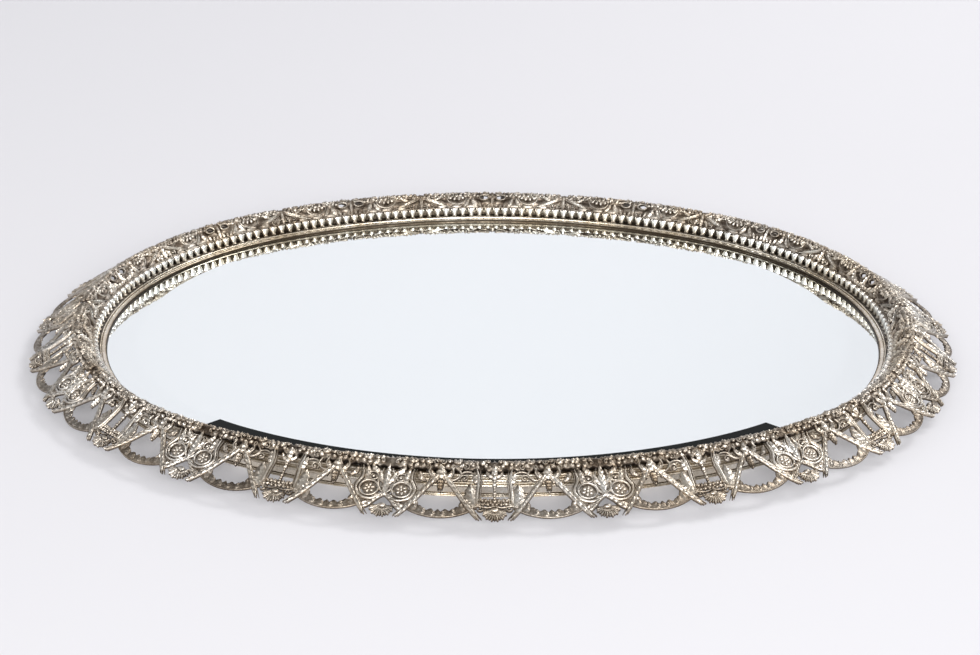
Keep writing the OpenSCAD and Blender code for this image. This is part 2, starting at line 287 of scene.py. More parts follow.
class Relief:
    """Small closed solids in flat border space, collected into one mesh."""

    def __init__(self):
        self.points = []
        self.faces = []
        self.total = 0

    def add(self, points, faces):
        self.points.append(points)
        self.faces.append(np.asarray(faces) + self.total)
        self.total += len(points)

    def slab(self, u, v, top, bottom):
        """A grid with a thickness: u, v and top are arrays of one shape."""
        rows, cols = u.shape
        bottom = np.broadcast_to(bottom, u.shape)
        upper = np.stack([u, v, top], -1).reshape(-1, 3)
        lower = np.stack([u, v, bottom], -1).reshape(-1, 3)
        n = rows * cols
        ids = np.arange(n).reshape(rows, cols)
        a, b, c, d = ids[:-1, :-1], ids[1:, :-1], ids[1:, 1:], ids[:-1, 1:]
        quads = np.stack([a, b, c, d], -1).reshape(-1, 4)
        rim = np.concatenate([ids[:-1, 0], ids[-1, :-1], ids[:0:-1, -1], ids[0, :0:-1]])
        after = np.roll(rim, -1)
        wall = np.stack([rim, rim + n, after + n, after], -1)
        faces = np.concatenate([quads, quads[:, ::-1] + n, wall])
        spin = (np.diff(u, axis=0)[:, :-1] * np.diff(v, axis=1)[:-1]
                - np.diff(v, axis=0)[:, :-1] * np.diff(u, axis=1)[:-1]).sum()
        if spin < 0:
            faces = faces[:, ::-1]
        self.add(np.concatenate([upper, lower]), faces)

    def cap(self, u0, v0, ru, rv, height, lift=0.0, sink=0.8, segments=12, rings=4, turn=0.0):
        """A low dome on an oval foot."""
        tilt = np.linspace(0, math.pi / 2, rings + 1)[:-1]
        around = np.linspace(0, 2 * math.pi, segments, endpoint=False)
        x = np.cos(tilt)[:, None] * np.cos(around) * ru
        y = np.cos(tilt)[:, None] * np.sin(around) * rv
        z = np.broadcast_to(lift + np.sin(tilt)[:, None] * height, x.shape)
        c, s = math.cos(turn), math.sin(turn)
        u, v = u0 + c * x - s * y, v0 + s * x + c * y
        points = np.stack([u, v, z], -1).reshape(-1, 3)
        foot = np.stack([u[0], v[0], np.full(segments, lift - sink)], -1)
        points = np.concatenate([foot, points, [[u0, v0, lift + height], [u0, v0, lift - sink]]])
        faces = []
        j = np.arange(segments)
        k = (j + 1) % segments
        for r in range(rings):
            a, b = r * segments, (r + 1) * segments
            faces.append(np.stack([a + j, a + k, b + k, b + j], -1))
        top, low = (rings + 1) * segments, (rings + 1) * segments + 1
        last = rings * segments
        peak = np.stack([last + j, last + k, np.full(segments, top), np.full(segments, top)], -1)
        base = np.stack([k, j, np.full(segments, low), np.full(segments, low)], -1)
        self.add(points, np.concatenate(faces + [peak, base]))

    def ribbon(self, path, width, height, sink=0.7, lift=0.0, cols=7, twist=0.0, ends=(0.3, 0.3)):
        """A rounded strip along a path of (u, v); twist makes a rope of that many turns."""
        path = np.asarray(path, dtype=float)
        t = np.linspace(0, 1, len(path))
        way = np.gradient(path, axis=0)
        way /= np.linalg.norm(way, axis=1)[:, None] + 1e-9
        a = np.linspace(-1, 1, cols)
        swell = np.minimum(1, ends[0] + (1 - ends[0]) * t * 6)
        swell = swell * np.minimum(1, ends[1] + (1 - ends[1]) * (1 - t) * 6)
        half = np.broadcast_to(np.asarray(width, dtype=float) / 2, t.shape) * swell
        u = path[:, 0, None] - way[:, 1, None] * a * half[:, None]
        v = path[:, 1, None] + way[:, 0, None] * a * half[:, None]
        round_top = np.sqrt(np.maximum(1 - (0.96 * a) ** 2, 0))
        top = lift + height * round_top * np.ones_like(u)
        if twist:
            top += 0.35 * height * np.cos(2 * math.pi * (twist * t[:, None] + 0.35 * a)) * round_top
        self.slab(u, v, top, lift - sink)

    def leaf(self, base, tip, width, height, lobes=4, bend=0.0, sink=0.7, lift=0.0, rows=19, cols=9,
             hollow=0.0, waist=0.25):
        """An acanthus leaf: lobed edges, slanting ribs and a raised vein."""
        base, tip = np.array(base, dtype=float), np.array(tip, dtype=float)
        span = tip - base
        across = np.array([-span[1], span[0]])
        t = np.linspace(0, 1, rows)
        a = np.linspace(-1, 1, cols)
        axis = base + t[:, None] * span + (4 * t * (1 - t) * bend)[:, None] * across
        way = np.gradient(axis, axis=0)
        way /= np.linalg.norm(way, axis=1)[:, None]
        neck = waist * (1 - t)
        shape = neck + (1 - neck) * np.sin(math.pi * np.minimum(t**0.8 + 0.02, 1)) ** 0.75
        edge = 1 - 0.3 * (0.5 + 0.5 * np.cos(2 * math.pi * lobes * t)) * np.sin(math.pi * t) ** 0.3
        half = width / 2 * shape * edge
        slant = t[:, None] - 0.16 * np.abs(a)
        ribs = 0.5 - 0.5 * np.cos(2 * math.pi * lobes * slant)
        body = np.sin(math.pi * np.clip(t, 0.04, 0.97)) ** 0.45
        dome = (1 - 0.6 * a**2 - hollow * np.exp(-(a / 0.45) ** 2))
        top = height * body[:, None] * (dome * (0.62 + 0.38 * ribs) + 0.32 * np.exp(-(a / 0.16) ** 2))
        u = axis[:, 0, None] - way[:, 1, None] * a * half[:, None]
        v = axis[:, 1, None] + way[:, 0, None] * a * half[:, None]
        self.slab(u, v, lift + top, lift - sink)

    def ring(self, u0, v0, ru, rv, width, height, lift=0.0, sink=0.7, segments=24, cols=5, turn=0.0):
        """A closed oval band."""
        around = np.linspace(0, 2 * math.pi, segments, endpoint=False)
        a = np.linspace(-1, 1, cols)
        x = (ru + a[:, None] * width / 2) * np.cos(around)
        y = (rv + a[:, None] * width / 2) * np.sin(around)
        c, s = math.cos(turn), math.sin(turn)
        u, v = u0 + c * x - s * y, v0 + s * x + c * y
        top = lift + height * np.sqrt(np.maximum(1 - (0.95 * a) ** 2, 0))
        rows = [np.stack([u[i], v[i], np.full(segments, top[i])], -1) for i in range(cols)]
        rows += [np.stack([u[-1], v[-1], np.full(segments, lift - sink)], -1)]
        rows += [np.stack([u[0], v[0], np.full(segments, lift - sink)], -1)]
        j = np.arange(segments)
        k = (j + 1) % segments
        faces = []
        for r in range(len(rows)):
            p, q = r * segments, (r + 1) % len(rows) * segments
            faces.append(np.stack([p + k, p + j, q + j, q + k], -1))
        self.add(np.concatenate(rows), np.concatenate(faces))

    def scroll(self, u0, v0, outer, turns, start, width, height, hand=1, lift=0.0, eye=0.0):
        """A spiral strip that tightens to a round eye."""
        t = np.linspace(0, 1, int(18 * turns) + 2)
        reach = outer * (1 - 0.72 * t)
        angle = start + hand * 2 * math.pi * turns * t
        path = np.stack([u0 + reach * np.cos(angle), v0 + reach * np.sin(angle)], -1)
        self.ribbon(path, width * (1 - 0.45 * t), height, lift=lift, cols=5)
        self.cap(u0, v0, eye or 0.32 * outer, eye or 0.32 * outer, height * 1.25, lift=lift)

    def rosette(self, u0, v0, radius, height, petals=6, lift=0.0):
        """Petals round a bead, inside a raised rim."""
        self.cap(u0, v0, 0.95 * radius, 0.95 * radius, 0.25 * height, lift=lift, segments=18, rings=2)
        for i in range(petals):
            angle = 2 * math.pi * i / petals + 0.3
            reach = 0.52 * radius
            self.cap(u0 + reach * math.cos(angle), v0 + reach * math.sin(angle), 0.34 * radius,
                     0.23 * radius, height, lift=lift, segments=8, rings=3, turn=angle)
        self.cap(u0, v0, 0.24 * radius, 0.24 * radius, 1.3 * height, lift=lift, segments=10)

    def mirrored(self):
        """The same relief on the other side of u = 0."""
        other = Relief()
        for points, faces in zip(self.points, self.faces):
            other.points.append(points * [-1, 1, 1])
            other.faces.append(faces[:, ::-1])
            other.total += len(points)
        return other

    def join(self, other):
        base = self.total
        self.points += other.points
        self.faces += [faces + base for faces in other.faces]
        self.total += other.total


def curve(*points, count=24):
    """A smooth path of count points through the given ones."""
    whole = smoothed(np.array(points, dtype=float), 12)
    run = np.concatenate([[0], np.cumsum(np.linalg.norm(np.diff(whole, axis=0), axis=1))])
    even = np.linspace(0, run[-1], count)
    return np.stack([np.interp(even, run, whole[:, 0]), np.interp(even, run, whole[:, 1])], -1)


HALF_PITCH = PITCH / 2
CREST_RUN = run_at(CREST_LINE)


def strap(relief, tip_u, side):
    """A rope strap from the apex between two tips down to beside one of them."""
    apex = HALF_PITCH + (-1.6 if tip_u < HALF_PITCH else 1.6)
    foot = tip_u + side * 7.6
    path = curve((apex, 29), ((2 * apex + foot) / 3, 20.5), ((apex + 2 * foot) / 3, 11), (foot, 1.8),
                 count=34)
    relief.ribbon(path, 2.5, 1.1, twist=9, lift=0.5, ends=(0.6, 0.2))
    offset = 1.25 * side
    relief.ribbon(path + [offset, 0.4], 0.8, 0.9, lift=0.35, cols=5)
    relief.ribbon(path - [offset, -0.4], 0.8, 0.9, lift=0.35, cols=5)


def apex(relief):
    """The arched head between two tips, with a drop of husks hanging in it."""
    u0 = HALF_PITCH
    relief.leaf((u0, 27), (u0, 35.5), 5.6, 1.3, lobes=3, lift=0.5)
    for side in (-1, 1):
        relief.leaf((u0 + side * 1.2, 27.0), (u0 + side * 5.4, 32.6), 3.6, 1.2, lobes=3,
                    bend=-0.18 * side, lift=0.4)
        relief.leaf((u0 + side * 2.2, 25.0), (u0 + side * 6.2, 26.6), 2.6, 1.0, lobes=2,
                    bend=0.2 * side, lift=0.3, rows=11)
        frame_line = curve((u0 + side * 5.2, 34.6), (u0 + side * 6.4, 31), (u0 + side * 4.6, 27.5), count=14)
        relief.ribbon(frame_line, 1.1, 1.1, lift=0.3)
        relief.ribbon(curve((u0, 30), (u0 + side * 3.2, 26.8), (u0 + side * 4.2, 22.6), count=16),
                      0.9, 0.9, lift=0.2)
    top = 26.8
    for size in (3.6, 3.2, 2.6):
        for side in (-1, 1):
            relief.leaf((u0, top), (u0 + side * size * 0.42, top - size), size * 0.5, 1.0, lobes=2,
                        bend=0.1 * side, lift=0.2, rows=11, cols=5)
        relief.leaf((u0, top), (u0, top - size * 1.05), size * 0.45, 1.2, lobes=2, lift=0.3,
                    rows=11, cols=5)
        top -= size * 0.62
    relief.cap(u0, top - 1.4, 0.7, 0.8, 0.9, segments=8, rings=3)


def crescent(relief):
    """The plain crescent between two tips, with a leafy inner edge that climbs beside the straps."""
    u0 = HALF_PITCH
    reach = 18.6
    t = np.linspace(-1, 1, 49)
    u = u0 + reach * t
    outer = 3.0 + 6.2 * t**2
    teeth = 0.5 + 0.5 * np.cos(2 * math.pi * 4.5 * (t + 0.04 * np.sin(9 * t)))
    inner = outer + 3.8 + 1.7 * teeth + 3.0 * np.abs(t) ** 2.5 * (1 - 0.5 * np.abs(t) ** 8)
    inner = np.where(np.abs(t) > 0.96, outer + 1.6, inner)
    a = np.linspace(0, 1, 6)
    v_grid = outer[:, None] + (inner - outer)[:, None] * a
    u_grid = np.broadcast_to(u[:, None], v_grid.shape)
    swell = 0.25 + 0.5 * np.sin(math.pi * a) * (0.6 + 0.4 * teeth[:, None])
    relief.slab(u_grid, v_grid, swell * np.ones_like(v_grid), -0.6)
    relief.ribbon(np.stack([u, outer + 0.35], -1), 0.9, 0.75, cols=5, sink=0.5)
    for x, length, lean in ((-12.5, 7.2, 0.25), (-7.6, 4.6, 0.12), (-2.6, 4.0, 0.05),
                            (2.6, 4.0, -0.05), (7.6, 4.6, -0.12), (12.5, 7.2, -0.25)):
        foot = 3.4 + 6.2 * (x / reach) ** 2
        relief.leaf((u0 + x, foot), (u0 + x + lean * length, foot + length), 3.6, 0.9, lobes=2,
                    lift=0.2, rows=11, cols=7, waist=0.7)


def palmette(relief, u0):
    """The shell at a tip: fanned ribs that end in a fringe of small teeth."""
    centre = np.array([u0, 8.2])
    count = 13
    for i in range(count):
        swing = math.radians((i - (count - 1) / 2) * 12.6)
        way = np.array([math.sin(swing), -math.cos(swing)])
        reach = 5.9 + 0.8 * math.cos(swing) + (0.3 if i % 2 else -0.25)
        start, end = centre + 1.8 * way, centre + reach * way
        relief.ribbon(np.linspace(start, end, 12), np.linspace(0.7, 1.45, 12), 1.0 + 0.25 * (i % 2),
                      lift=0.2, cols=5, ends=(0.5, 0.35))
    t = np.linspace(0, math.pi, 19)
    fan_u = u0 + np.cos(t) * 5.8
    fan_v = 8.6 - np.sin(t) * 5.0
    a = np.linspace(0, 1, 4)
    fan_plate = (u0 + (fan_u - u0)[:, None] * a, 8.6 + (fan_v - 8.6)[:, None] * a)
    relief.slab(*fan_plate, np.full(fan_plate[0].shape, 0.55), -0.6)
    relief.ribbon(np.stack([u0 + np.cos(t) * 4.6, 8.8 - np.sin(t) * 3.6], -1), 0.7, 1.4, cols=5)
    relief.cap(u0, 8.4, 2.4, 1.6, 1.7, segments=12)
    for side in (-1, 1):
        relief.scroll(u0 + side * 7.0, 9.4, 1.9, 1.1, math.pi * (0.5 - 0.5 * side), 0.9, 1.1, hand=-side)


def leaf_motif(relief):
    """Half of the motif with two upright leaves; the other half is its mirror image."""
    rod = curve((9.0, 11.5), (8.6, 20), (8.2, 27), (9.2, 33.5), count=24)
    relief.ribbon(rod, 1.9, 1.3, lift=0.5)
    relief.ribbon(rod - [1.5, 0], 0.8, 0.9, lift=0.4, cols=5)
    relief.leaf((9.6, 9.6), (12.2, 25.0), 8.2, 1.5, lobes=5, bend=-0.06, lift=0.5)
    relief.leaf((10.4, 9.6), (17.2, 15.2), 5.4, 1.2, lobes=4, bend=0.16, lift=0.3)
    relief.leaf((9.0, 24.6), (10.6, 32.2), 4.2, 1.2, lobes=3, lift=0.6)
    relief.scroll(15.6, 27.6, 2.3, 1.25, -0.6, 1.1, 1.1, hand=1, lift=0.2)
    relief.ribbon(curve((10.2, 30.0), (13.2, 31.6), (16.8, 30.8), (18.6, 27.2), count=16), 1.1, 1.0, lift=0.2)
    relief.ribbon(curve((18.8, 33), (17.4, 30.0), (20.4, 26.6), (23.6, 26.6), count=16), 1.3, 1.1, lift=0.2)
    # garland over the palmette: a band of small leaves and berries
    t = np.linspace(0, 1, 12)
    top_line, low_line = 15.4 + 0.5 * np.cos(9 * t), 11.6 - 0.5 * np.cos(7 * t)
    a = np.linspace(0, 1, 4)
    v_grid = low_line[:, None] + (top_line - low_line)[:, None] * a
    relief.slab(np.broadcast_to((12 * t)[:, None], v_grid.shape), v_grid, np.full(v_grid.shape, 0.35), -0.6)
    chance = np.random.default_rng(5)
    for row, v in enumerate((12.2, 14.6)):
        for x in np.arange(1.2 + row, 11.6, 2.1):
            turn = chance.uniform(-0.9, 0.9)
            way = 1.3 * np.array([math.sin(turn), math.cos(turn)])
            relief.leaf((x - way[0], v - way[1]), (x + way[0], v + way[1]), 2.0, 1.1, lobes=2, lift=0.3,
                        rows=11, cols=5)
            relief.cap(x + 1.0, v + chance.uniform(-0.8, 0.8), 0.55, 0.55, 1.0, lift=0.3, segments=7, rings=2)
    relief.ribbon(curve((0, 10.6), (4, 9.8), (8.5, 10.8), (12.8, 9.0), count=18), 1.0, 1.0, lift=0.2)


def leaf_motif_centre(relief):
    """The beaded stem between the two leaves."""
    relief.ribbon(curve((0, 11.5), (0, 34), count=20), 1.0, 0.8)
    for v, r in ((13.8, 1.1), (15.6, 0.8), (17.2, 0.8), (18.8, 1.0), (20.8, 0.8),
                 (22.4, 0.8), (24.0, 1.3), (26.2, 0.9), (28.0, 1.6), (30.4, 1.1)):
        relief.cap(0, v, r, r, r * 1.1, lift=0.4, segments=10, rings=3)
    relief.leaf((0, 29.5), (0, 36.5), 4.2, 1.4, lobes=3, lift=0.6)
    for side in (-1, 1):
        relief.leaf((0, 28.8), (side * 4.4, 32.6), 2.8, 1.2, lobes=2, bend=-0.2 * side, lift=0.4,
                    rows=11, cols=7)


def heart_motif(relief, side):
    """One half of the heart of two scrolls, on the given side of its tip."""
    u0 = PITCH

    def at(x, v):
        return (u0 + side * x, v)

    relief.rosette(*at(8.4, 18.4), 3.9, 1.0, lift=0.6)
    relief.ring(*at(8.4, 18.4), 4.9, 4.7, 1.3, 1.5, lift=0.3)
    outer = curve(at(1.2, 15.4), at(6.4, 11.9), at(12.2, 13.4), at(15.2, 19.0), at(12.8, 25.4),
                  at(13.6, 31.6), count=36)
    relief.ribbon(outer, 1.8, 1.4, lift=0.3)
    relief.ribbon(outer + [side * 1.4, 0.2], 0.7, 0.9, lift=0.3, cols=5)
    relief.ribbon(curve(at(0.8, 15.6), at(3.4, 19.5), at(4.2, 24.5), at(2.4, 31), count=22),
                  1.3, 1.3, lift=0.3)
    relief.scroll(*at(7.2, 25.6), 3.2, 1.35, math.pi * (0.5 - 0.5 * side), 1.3, 1.3, hand=side, lift=0.3)
    relief.leaf(at(9.6, 22.0), at(11.4, 32.5), 4.4, 1.4, lobes=4, lift=0.5)
    relief.leaf(at(4.4, 29.0), at(9.0, 33.4), 3.6, 1.3, lobes=3, bend=-0.15 * side, lift=0.5)
    relief.leaf(at(1.0, 15.0), at(5.4, 12.0), 2.8, 1.1, lobes=3, bend=0.15 * side, lift=0.4)
    leg = curve(at(0.5, 15.0), at(3.6, 12.4), at(7.4, 7.6), at(10.8, 5.6), count=22)
    relief.ribbon(leg, 2.0, 1.2, twist=5, lift=0.3, ends=(0.7, 0.3))
    relief.leaf(at(6.4, 11.0), at(12.4, 8.0), 3.2, 1.1, lobes=3, bend=-0.1 * side, lift=0.3)
    relief.leaf(at(16.6, 30.8), at(20.6, 25.4), 3.4, 1.1, lobes=3, bend=-0.2 * side, lift=0.3)
    relief.leaf(at(13.2, 12.6), at(17.4, 9.6), 2.8, 1.0, lobes=3, bend=0.15 * side, lift=0.3)


def heart_motif_centre(relief):
    """The acanthus leaf between the two scrolls, over the joint between two castings."""
    u0 = PITCH
    relief.leaf((u0, 15.6), (u0, 34.5), 4.8, 1.6, lobes=6, lift=0.7, rows=27)
    relief.cap(u0, 15.2, 1.2, 1.2, 1.6, lift=0.4, segments=10)
    for side in (-1, 1):
        relief.leaf((u0, 21.5), (u0 + side * 4.2, 30.5), 3.4, 1.4, lobes=4, bend=-0.12 * side, lift=0.5)


def crest_plate(relief, joint):
    """The web of the crest and inner slope, with an oval opening on each side of the casting's middle."""
    u = np.concatenate([np.linspace(0, 11, 23), np.linspace(12, PITCH - joint, 40)])
    low = CREST_RUN - 4.0 + 0.8 * np.cos(2 * math.pi * u / 5.2) + 0.6 * np.cos(2 * math.pi * u / 8.1 + 1)
    hole = np.clip(1 - ((u - 6.5) / 3.2) ** 2, 0, 1) ** 0.5 * 1.7
    hole_v = CREST_RUN + 3.9
    for lower, upper in ((low, hole_v - hole), (hole_v + hole, np.full_like(u, SLOPE_END))):
        a = np.linspace(0, 1, 14)
        v_grid = lower[:, None] + (upper - lower)[:, None] * a
        u_grid = np.broadcast_to(u[:, None], v_grid.shape)
        swell = 0.35 * np.cos(2 * math.pi * u_grid / 9.3 + 0.5 * v_grid)
        swell = swell + 0.3 * np.cos(2 * math.pi * v_grid / 5.7)
        relief.slab(u_grid, v_grid, swell, -1.4)
    relief.ring(6.5, hole_v, 3.6, 2.1, 1.2, 1.1)


def crest_foliage(relief):
    """The dense small leaves, scrolls and berries along the crest, in three rows."""
    chance = np.random.default_rng(11)
    for row, (start, step, place) in enumerate(((1.6, 3.3, -2.6), (3.2, 3.0, 0.0), (1.8, 3.2, 2.6))):
        for x in np.arange(start, PITCH - 1.4, step):
            x += chance.uniform(-0.5, 0.5)
            v = CREST_RUN + place + chance.uniform(-0.7, 0.7)
            if row == 2 and x < 11:
                continue
            size = chance.uniform(3.0, 4.8)
            turn = chance.uniform(-1.3, 1.3) + (math.pi if row == 0 else 0)
            tall = chance.uniform(0.8, 1.5)
            way = 0.5 * size * np.array([math.sin(turn), math.cos(turn)])
            kind = chance.integers(0, 5)
            if kind < 3:
                relief.leaf((x - way[0], v - way[1]), (x + way[0], v + way[1]), size * 0.8, tall, lobes=3,
                            bend=chance.uniform(-0.2, 0.2), lift=0.2, rows=13, cols=7)
            elif kind == 3:
                relief.scroll(x, v, size * 0.42, 1.1, chance.uniform(0, 6), 0.85, tall,
                              hand=1 if size > 3.3 else -1, lift=0.2)
            else:
                relief.cap(x, v, size * 0.3, size * 0.36, tall, lift=0.2, segments=9, rings=3, turn=turn)
                relief.cap(x + way[1], v - way[0], 0.7, 0.7, tall, lift=0.2, segments=8, rings=3)


def inner_slope(relief):
    """The relief that faces the mirror."""
    top = CREST_RUN + 2.2
    low = SLOPE_END
    # spears that fall outwards from the head of the heart motif, with feathered edges
    relief.leaf((52.5, top + 0.4), (35.5, low - 2.6), 3.6, 1.7, lobes=7, bend=-0.06, lift=0.2, rows=27)
    relief.ribbon(curve((53.5, top + 2.4), (44, low - 4.0), (33.5, low - 0.9), count=26), 1.0, 1.2, lift=0.2)
    # bright petals above the middle of the gallery between two tips
    for x, lean in ((-4.6, -0.8), (-1.6, -0.3), (1.6, 0.3), (4.6, 0.8)):
        relief.cap(HALF_PITCH + x, top + 3.0 - abs(x) * 0.25, 1.15, 1.7, 1.4, lift=0.2, turn=-lean,
                   segments=12)
    relief.ribbon(curve((HALF_PITCH - 8.5, top - 0.5), (HALF_PITCH - 6, top + 5.0), (HALF_PITCH, top + 7.0),
                        (HALF_PITCH + 6, top + 5.0), (HALF_PITCH + 8.5, top - 0.5), count=30), 1.2, 1.1)
    # smooth lobes that lie on the gallery
    for x, wide in ((16.8, 4.6), (27.8, 4.4), (39.6, 3.8)):
        relief.cap(x, low - 1.7, wide, 1.9, 1.1, segments=20, sink=1.2)
    relief.leaf((11.6, low - 1.0), (15.6, top + 1.2), 4.2, 1.6, lobes=4, bend=0.12, lift=0.2)
    relief.leaf((22.6, low - 1.2), (18.2, top + 1.0), 3.6, 1.5, lobes=4, bend=-0.12, lift=0.2)
    relief.leaf((3.6, low - 0.4), (1.6, low - 4.4), 2.8, 1.4, lobes=3, lift=0.2, rows=13, cols=7)
    relief.leaf((8.8, low - 0.4), (11.0, low - 5.4), 2.8, 1.4, lobes=3, lift=0.2, rows=13, cols=7)
    relief.leaf((6.2, low - 0.2), (6.2, low - 3.6), 2.6, 1.3, lobes=2, lift=0.2, rows=11, cols=7)
    relief.scroll(47.5, low - 2.6, 2.4, 1.25, 0.4, 1.0, 1.4, hand=1, lift=0.1)
    relief.scroll(52.6, low - 3.4, 1.9, 1.2, 2.4, 0.9, 1.3, hand=-1, lift=0.1)
    relief.leaf((50.5, low - 0.4), (53.8, low - 6.4), 3.0, 1.4, lobes=3, bend=-0.1, lift=0.2)
    relief.leaf((40.0, top + 0.2), (46.6, top + 3.0), 3.0, 1.4, lobes=4, bend=0.1, lift=0.2)
    relief.leaf((35.4, top - 0.2), (33.0, top + 3.6), 2.8, 1.3, lobes=3, bend=0.1, lift=0.2, rows=13, cols=7)
    edge = np.stack([np.linspace(0.2, PITCH - 0.2, 90), np.full(90, low - 0.25)], -1)
    relief.ribbon(edge, 0.8, 0.8, cols=5, ends=(1, 1))


def inner_slope_centre(relief):
    """The leaves on the inner slope over the middle and over the joint of a casting."""
    top = CREST_RUN + 2.0
    relief.leaf((0, SLOPE_END - 0.4), (0, top - 1), 3.0, 1.6, lobes=5, lift=0.2)
    relief.leaf((PITCH, SLOPE_END - 0.4), (PITCH, top - 1), 3.6, 1.7, lobes=4, lift=0.2)


def casting_relief():
    """One whole casting, two tip pitches long, with its leaf motif in the middle."""
    half = Relief()
    joint = 0.05
    strap(half, 0, 1)
    strap(half, PITCH, -1)
    apex(half)
    crescent(half)
    leaf_motif(half)
    heart_motif(half, -1)
    crest_plate(half, joint)
    crest_foliage(half)
    inner_slope(half)
    whole = Relief()
    whole.join(half)
    whole.join(half.mirrored())
    leaf_motif_centre(whole)
    heart_motif_centre(whole)
    inner_slope_centre(whole)
    palmette(whole, 0)
    palmette(whole, PITCH)
    return whole


# A casting is this bright at its web, and brighter by one for each so many millimetres of height.
WEAR_BASE = 0.14
WEAR_HEIGHT = 2.8


def castings():
    """The fourteen castings, each standing for its section of the frame."""
    relief = casting_relief()
    flat = np.concatenate(relief.points)
    faces = np.concatenate(relief.faces)
    faces = [tuple(dict.fromkeys(f)) for f in faces.tolist()]
    u, inset, height = onto_slope(flat)
    wear_and_shade_level = WEAR_BASE + flat[:, 2] / WEAR_HEIGHT
    first = 2 * (SIDE_SECTIONS + END_SECTIONS) - SIDE_SECTIONS // 2
    made = []
    for arc in ARCS.values():
        for m in range(arc.castings):
            middle = arc.middle + (2 * m + 1 - arc.castings) * arc.half / arc.castings
            angle = middle + u / (arc.radius - CREST_INSET)
            points = arc.points(angle, inset, height)
            number = first % (2 * (SIDE_SECTIONS + END_SECTIONS)) + 1
            piece = new_mesh(f"pierced_casting_{number:02d}", points, faces, relief=wear_and_shade_level, sharp=70)
            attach(piece, "root")
            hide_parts(f"border_section_{number:02d}")
            made.append(piece)
            first += 1
    return made


# Gallery, mouldings and mirror

KNOBS = {"front": 50, "right": 63, "back": 50, "left": 63}
# The knobs stand this far above the frame's own gallery.
KNOB_RISE = 2.4


def knob_profile():
    """Radius and height of a knob, from its foot to its top: a small cup on a turned stem."""
    rise = GALLERY_TOP - GALLERY_FOOT + KNOB_RISE
    shape = [(1.7, 0.0), (2.0, 0.05), (1.5, 0.14), (1.8, 0.26), (2.25, 0.46), (2.7, 0.68),
             (2.95, 0.82), (2.9, 0.92), (2.3, 0.99), (1.2, 0.97), (0.0, 0.96)]
    return [(r, h * rise) for r, h in shape]


def bead_gallery(side):
    """A row of turned knobs on a dark hollow rail."""
    arc = ARCS[side]
    profile = knob_profile()
    top = profile[-3][1]
    segments = 14
    around = np.linspace(0, 2 * math.pi, segments, endpoint=False)
    points, faces, relief = [], [], []
    lean = math.radians(14)
    for k in range(KNOBS[side]):
        angle = arc.middle + arc.half * ((2 * k + 1) / KNOBS[side] - 1)
        out = np.array([math.cos(angle), math.sin(angle), 0])
        along = np.array([-math.sin(angle), math.cos(angle), 0])
        foot = arc.points(angle, BAND_INSET - 2.1, GALLERY_FOOT)
        axis = out * math.sin(lean) + np.array([0, 0, math.cos(lean)])
        across = np.cross(axis, along)
        start = len(points)
        for r, h in profile[:-1]:
            points += [foot + axis * h + r * (along * math.cos(a) + across * math.sin(a) * 0.9)
                       for a in around]
            relief += [0.3 + 0.75 * h / top] * segments
        points += [foot + axis * profile[-1][1], foot]
        relief += [0.7, 0.2]
        rows = len(profile) - 1
        for i in range(rows - 1):
            a, b = start + i * segments, start + (i + 1) * segments
            faces += [(a + j, b + j, b + (j + 1) % segments, a + (j + 1) % segments) for j in range(segments)]
        last = start + (rows - 1) * segments
        peak, low = last + segments, last + segments + 1
        faces += [(last + j, peak, last + (j + 1) % segments) for j in range(segments)]
        faces += [(start + (j + 1) % segments, low, start + j) for j in range(segments)]
    rail = np.array([
        (BEAD_INSET - 0.2, GALLERY_FOOT, 0), (BEAD_INSET - 0.2, GALLERY_TOP + 0.1, 0.4),
        (BEAD_INSET + 0.2, GALLERY_TOP + 0.3, 0.5),
        (BEAD_INSET + 0.6, GALLERY_TOP - 0.1, 0.1), (BEAD_INSET + 0.8, GALLERY_FOOT + 0.9, -0.3),
        (BAND_INSET - 0.6, GALLERY_FOOT + 0.5, -0.1), (BAND_INSET, GALLERY_FOOT + 0.3, 0.15),
        (BAND_INSET, GALLERY_FOOT, 0)])
    steps = KNOBS[side]
    base = len(points)
    for t in np.linspace(-1, 1, steps + 1):
        points += list(arc.points(arc.middle + t * arc.half, rail[:, 0], rail[:, 1]))
        relief += list(rail[:, 2])
    count = len(rail)
    for i in range(steps):
        a, b = base + i * count, base + (i + 1) * count
        faces += [(a + j, b + j, b + (j + 1) % count, a + (j + 1) % count) for j in range(count)]
    faces.append([base + j for j in range(count)])
    faces.append([base + steps * count + j for j in reversed(range(count))])
    gallery = new_mesh(f"knob_gallery_{side}", np.array(points), faces, relief=relief, sharp=40)
    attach(gallery, "root")
    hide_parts(f"bead_gallery_{side}")
    return gallery


def with_wear_and_shade(points, wear):
    """Profile points with one tone value: wear and tarnish, and painted shade where a shaded face is set
    dark.
    """
    return [(*point, wear) for point in points]


